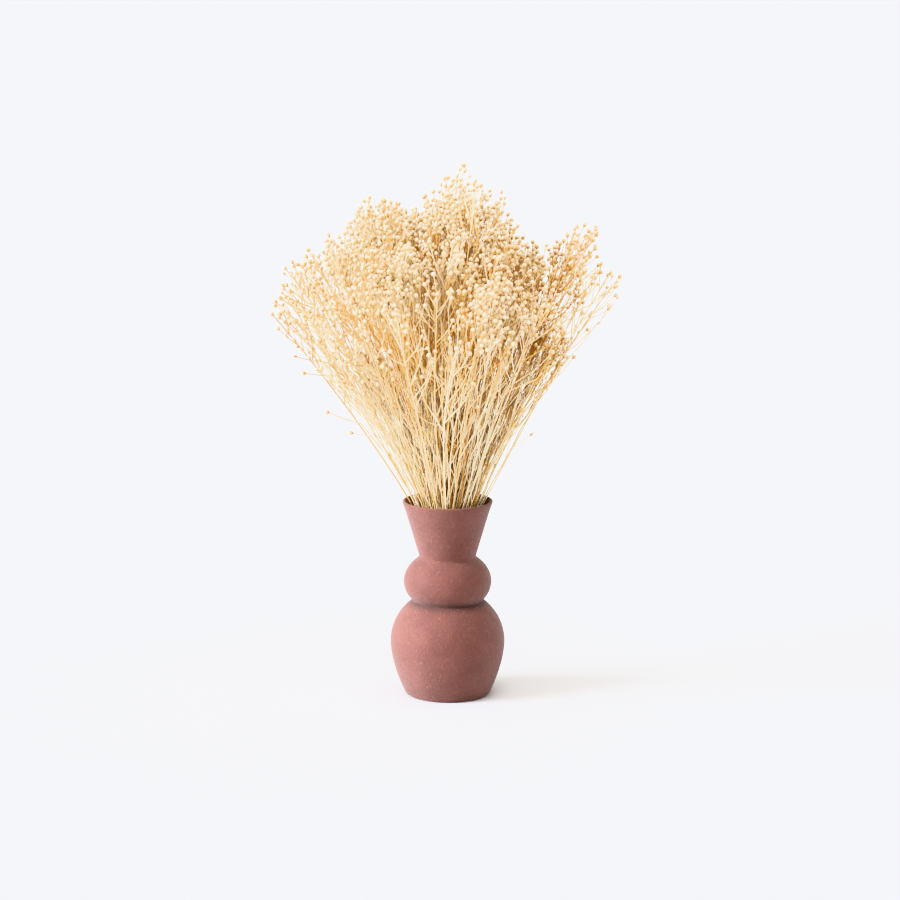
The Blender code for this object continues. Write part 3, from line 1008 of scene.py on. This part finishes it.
# dried seed capsules: papery golden skin with a bloom at the edges, a brown calyx, a pale mouth
# that also paints a highlight on the tips
capsuleSkinValues = {
    "belly": "#dabb7e",
    "bellyPale": "#f3e5c6",
    # the mouth is pale papery skin, whitened further as a painted highlight on the capsule tips
    # calyx and mouth: colour, from where to where along the capsule, and its share at both
    "ends": (("#b0843c", (0.1, 0.52), (0.92, 0.0)), ("#fff9ec", (0.55, 0.85), (0.0, 0.95))),
    "mottle": 1.6,  # mm
    "mottles": ((0.3, "#e8d3ab"), (0.52, "#ffffff")),
    "mottleShare": 0.6,
    "relief": 0.3,  # mm
    "roughness": 0.42,
    "sheen": 0.15,
}


def makeCapsuleMaterial():
    v = capsuleSkinValues
    material, tree = newMaterial("dried papery seed capsule")
    place = addNode(tree, "ShaderNodeTexCoord").outputs["Object"]
    # tone holds a random tone plus the painted shade of the heart and far side of the bunch
    tone = addNode(tree, "ShaderNodeAttribute", attribute_name="tone").outputs["Fac"]
    along = addNode(tree, "ShaderNodeAttribute", attribute_name="along").outputs["Fac"]
    colour = addNode(tree, "ShaderNodeMix", {
        "Factor": tone, "A": linearColour(v["bellyPale"]), "B": linearColour(v["belly"])},
        data_type="RGBA")
    for code, (begin, end), (least, most) in v["ends"]:
        share = addNode(tree, "ShaderNodeMapRange", {
            "Value": along, "From Min": begin, "From Max": end, "To Min": least, "To Max": most})
        colour = addNode(tree, "ShaderNodeMix", {
            "Factor": share, "A": colour, "B": linearColour(code)}, data_type="RGBA")
    mottle = addNode(tree, "ShaderNodeTexNoise", {
        "Vector": place, "Scale": 1 / (v["mottle"] * mm), "Detail": 2.0, "Roughness": 0.6})
    mottles = addNode(tree, "ShaderNodeValToRGB", {"Fac": mottle})
    setRamp(mottles, v["mottles"])
    mottled = addNode(tree, "ShaderNodeMix", {
        "Factor": v["mottleShare"], "A": colour, "B": mottles},
        data_type="RGBA", blend_type="MULTIPLY")
    bump = addNode(tree, "ShaderNodeBump", {
        "Height": mottle, "Strength": 0.35, "Distance": v["relief"] * mm})
    shader = addNode(tree, "ShaderNodeBsdfPrincipled", {
        "Base Color": mottled, "Roughness": v["roughness"], "IOR": 1.5,
        "Sheen Weight": v["sheen"], "Sheen Roughness": 0.4, "Normal": bump})
    addNode(tree, "ShaderNodeOutputMaterial", {"Surface": shader})
    return material


# the tree turns a skeleton's lines into stalks and its seats into capsules
growerValues = {"Stalk sides": 4, "Thin stalk sides": 3, "Capsule scale": 1.0}
columnForms = {  # what the points of a skeleton carry
    "girth": "FLOAT", "tone": "FLOAT", "isThin": "BOOLEAN", "isSeat": "BOOLEAN",
    "heading": "FLOAT_VECTOR", "size": "FLOAT", "spin": "FLOAT", "kind": "INT",
}


def makeSprayTree(stalkMaterial, capsuleMaterial, capsuleKinds):
    tree = bpy.data.node_groups.new("grow spray", "GeometryNodeTree")
    face = tree.interface
    face.new_socket("Geometry", in_out="INPUT", socket_type="NodeSocketGeometry")
    for name, value in growerValues.items():
        form = "NodeSocketFloat" if isinstance(value, float) else "NodeSocketInt"
        face.new_socket(name, in_out="INPUT", socket_type=form).default_value = value
    face.new_socket("Geometry", in_out="OUTPUT", socket_type="NodeSocketGeometry")
    start = addNode(tree, "NodeGroupInput")
    read = {name: addNode(tree, "GeometryNodeInputNamedAttribute", {"Name": name}, data_type=form)
            for name, form in columnForms.items() if name != "tone"}
    isThick = addNode(tree, "FunctionNodeBooleanMath", {0: read["isThin"]}, operation="NOT")
    whole = addNode(tree, "GeometryNodeJoinGeometry")
    for chosen, sides in ((isThick, "Stalk sides"), (read["isThin"], "Thin stalk sides")):
        lines = addNode(tree, "GeometryNodeMeshToCurve", {
            "Mesh": start.outputs["Geometry"], "Selection": chosen})
        ring = addNode(tree, "GeometryNodeCurvePrimitiveCircle", {
            "Resolution": start.outputs[sides], "Radius": 1.0}, mode="RADIUS")
        tubes = addNode(tree, "GeometryNodeCurveToMesh", {
            "Curve": lines, "Profile Curve": ring, "Scale": read["girth"], "Fill Caps": True})
        smooth = addNode(tree, "GeometryNodeSetShadeSmooth", {"Geometry": tubes})
        stalks = addNode(tree, "GeometryNodeSetMaterial", {
            "Geometry": smooth, "Material": stalkMaterial})
        tree.links.new(stalks.outputs["Geometry"], whole.inputs["Geometry"])
    upright = addNode(tree, "FunctionNodeAlignRotationToVector", {
        "Vector": read["heading"]}, axis="Z")
    spinAngles = addNode(tree, "ShaderNodeCombineXYZ", {"Z": read["spin"]})
    turned = addNode(tree, "FunctionNodeRotateRotation", {
        "Rotation": upright, "Rotate By": spinAngles}, rotation_space="LOCAL")
    fullSize = addNode(tree, "ShaderNodeMath", {
        0: read["size"], 1: start.outputs["Capsule scale"]}, operation="MULTIPLY")
    kinds = addNode(tree, "GeometryNodeCollectionInfo", {
        "Collection": capsuleKinds, "Separate Children": True, "Reset Children": True})
    seated = addNode(tree, "GeometryNodeInstanceOnPoints", {
        "Points": start.outputs["Geometry"], "Selection": read["isSeat"], "Instance": kinds,
        "Pick Instance": True, "Instance Index": read["kind"], "Rotation": turned,
        "Scale": fullSize})
    real = addNode(tree, "GeometryNodeRealizeInstances", {"Geometry": seated})
    capsules = addNode(tree, "GeometryNodeSetMaterial", {
        "Geometry": real, "Material": capsuleMaterial})
    tree.links.new(capsules.outputs["Geometry"], whole.inputs["Geometry"])
    addNode(tree, "NodeGroupOutput", {"Geometry": whole})
    return tree


def makeSkeleton(name, growths):
    points, edges = [], []
    columns = {column: [] for column in columnForms}

    def addPoint(point, heading, **values):
        points.append(point * mm)
        columns["heading"].extend(heading)
        for column, value in values.items():
            columns[column].append(value)

    for growth in growths:
        for path, (foot, tip), tone, thin in growth["runs"]:
            for index, point in enumerate(path):
                girth = foot + (tip - foot) * (index / (len(path) - 1))
                # each point's tone takes on the painted shade of the heart and far side of the
                # bunch
                addPoint(point, (0, 0, 1), girth=girth * mm, tone=tone + paintedShadeTone(point),
                         isThin=thin, isSeat=False, size=1.0, spin=0.0, kind=0)
                if index:
                    edges.append((len(points) - 2, len(points) - 1))
        for base, heading, size, tone, spin in growth["seats"]:
            addPoint(base, heading, girth=0.0, tone=tone + paintedShadeTone(base), isThin=False,
                     isSeat=True, size=size, spin=spin, kind=int(spin * 7) % 3)
    mesh = bpy.data.meshes.new(name)
    mesh.from_pydata(points, edges, [])
    for column, form in columnForms.items():
        field = "vector" if form == "FLOAT_VECTOR" else "value"
        mesh.attributes.new(column, form, "POINT").data.foreach_set(field, columns[column])
    return mesh


def growPiece(name, growths, tree):
    piece = bpy.data.objects.new(name, makeSkeleton(name, growths))
    bpy.context.scene.collection.objects.link(piece)
    grower = piece.modifiers.new("grow", "NODES")
    grower.node_group = tree
    for item in tree.interface.items_tree:
        if item.name in growerValues:
            grower[item.identifier] = growerValues[item.name]
    graph = bpy.context.evaluated_depsgraph_get()
    mesh = bpy.data.meshes.new_from_object(piece.evaluated_get(graph))
    piece.modifiers.remove(grower)
    piece.data = mesh
    mesh.name = name
    return piece


# the photograph's angle: 11 degrees down, from 3.4 m away
cameraValues = {
    "lens": 135.0,
    "sensor": 36.0,
    "distance": 3.3864,
    "down": 11.06,
    "target": (0.0024, 0.0, 0.25115),
}


def makeCamera():
    v = cameraValues
    data = bpy.data.cameras.new("camera")
    data.lens = v["lens"]
    data.sensor_width = v["sensor"]
    data.clip_end = 100.0
    camera = bpy.data.objects.new("camera", data)
    down = math.radians(v["down"])
    x, y, z = v["target"]
    camera.location = (x, y - v["distance"] * math.cos(down), z + v["distance"] * math.sin(down))
    camera.rotation_euler = (math.pi / 2 - down, 0, 0)
    bpy.context.scene.collection.objects.link(camera)
    bpy.context.scene.camera = camera


stageValues = {
    "floor": "#d5d6d8",
    "floorSize": 120,
    "backdrop": "#fbfcff",
    "backdropStrength": 1.72,  # as pale as the floor, so that no edge shows between them
    "daylight": "#fffaf3",  # light from all around
    "worldStrength": 1.38,
    "sunColour": "#f3f7ff",
    # degrees to the left of the line of sight, degrees above level, strength, and degrees
    # across, so that shadows stay soft
    "suns": {"wide side light": (74.0, 22.0, 8.9, 33.0), "top light": (0.0, 78.0, 2.0, 45.0)},
    "gamma": 0.8,  # deeper shadows
}


def makeStage():
    v = stageValues
    scene = bpy.context.scene
    bpy.ops.mesh.primitive_plane_add(size=v["floorSize"])
    floor = bpy.context.object
    floor.name = "floor"
    material, tree = newMaterial("plain pale floor")
    shader = addNode(tree, "ShaderNodeBsdfPrincipled", {
        "Base Color": linearColour(v["floor"]), "Roughness": 0.9, "Specular IOR Level": 0.1})
    addNode(tree, "ShaderNodeOutputMaterial", {"Surface": shader})
    floor.data.materials.append(material)
    world = bpy.data.worlds.new("soft daylight")
    world.use_nodes = True
    tree = world.node_tree
    seen = addNode(tree, "ShaderNodeLightPath").outputs["Is Camera Ray"]
    strength = addNode(tree, "ShaderNodeMapRange", {
        "Value": seen, "To Min": v["worldStrength"], "To Max": v["backdropStrength"]})
    colour = addNode(tree, "ShaderNodeMix", {
        "Factor": seen, "A": linearColour(v["daylight"]), "B": linearColour(v["backdrop"])},
        data_type="RGBA")
    background = tree.nodes["Background"]
    tree.links.new(strength.outputs["Result"], background.inputs["Strength"])
    tree.links.new(colour.outputs["Result"], background.inputs["Color"])
    scene.world = world
    for name, (left, high, strength, size) in v["suns"].items():
        sun = bpy.data.lights.new(name, "SUN")
        sun.energy = strength
        sun.angle = math.radians(size)
        sun.color = linearColour(v["sunColour"])[:3]
        light = bpy.data.objects.new(name, sun)
        left, high = math.radians(left), math.radians(high)
        level = math.cos(high)
        place = Vector((-math.sin(left) * level, -math.cos(left) * level, math.sin(high)))
        light.location = place * 3
        light.rotation_euler = (-place).to_track_quat("-Z", "Y").to_euler()
        scene.collection.objects.link(light)
    scene.view_settings.view_transform = "Khronos PBR Neutral"
    scene.view_settings.gamma = v["gamma"]


makeCamera()
makeStage()
print("camera and stage ready")

vase = makeVase()
vase.data.materials.append(makeStoneware())
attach(vase, "root")
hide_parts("vase")
print("vase turned")

capsuleKinds = bpy.data.collections.new("capsule kinds")
for kindName in capsuleValues["kinds"]:
    capsuleKinds.objects.link(makeCapsule(kindName))
sprayTree = makeSprayTree(makeStalkMaterial(), makeCapsuleMaterial(), capsuleKinds)

mainSprays = planMainStems()
planMainTwigs(mainSprays)
print("main sprays planned")
mainGrowths = [growMainSpray(spray, 100 + index) for index, spray in enumerate(mainSprays)]
fillerTips = planFillerTips()
fillerTips.sort(key=lambda tip: math.atan2(tip.y, tip.x))
fillerGrowths = [growFiller(tip, 500 + index) for index, tip in enumerate(fillerTips)]
for place in fillerValues["strays"]:
    addStray(fillerGrowths, Vector(place))
print("capsules:", sum(len(g["seats"]) for g in mainGrowths + fillerGrowths))

for index, growth in enumerate(mainGrowths):
    piece = growPiece(f"broomSpray{index + 1:02d}", [growth], sprayTree)
    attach(piece, "root")
    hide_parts(f"spray_{index + 1:02d}")
perPiece = math.ceil(len(fillerGrowths) / fillerValues["pieces"])
for number in range(fillerValues["pieces"]):
    group = fillerGrowths[number * perPiece:(number + 1) * perPiece]
    piece = growPiece(f"fillerSprays{number + 1:02d}", group, sprayTree)
    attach(piece, "root")
print("sprays grown")
for capsule in list(capsuleKinds.objects):
    bpy.data.objects.remove(capsule)
bpy.data.collections.remove(capsuleKinds)

grown = [o for o in bpy.data.objects if o.name.startswith(("broomSpray", "fillerSprays"))]
print("triangles in the sprays:", sum(len(p.vertices) - 2 for o in grown for p in o.data.polygons))
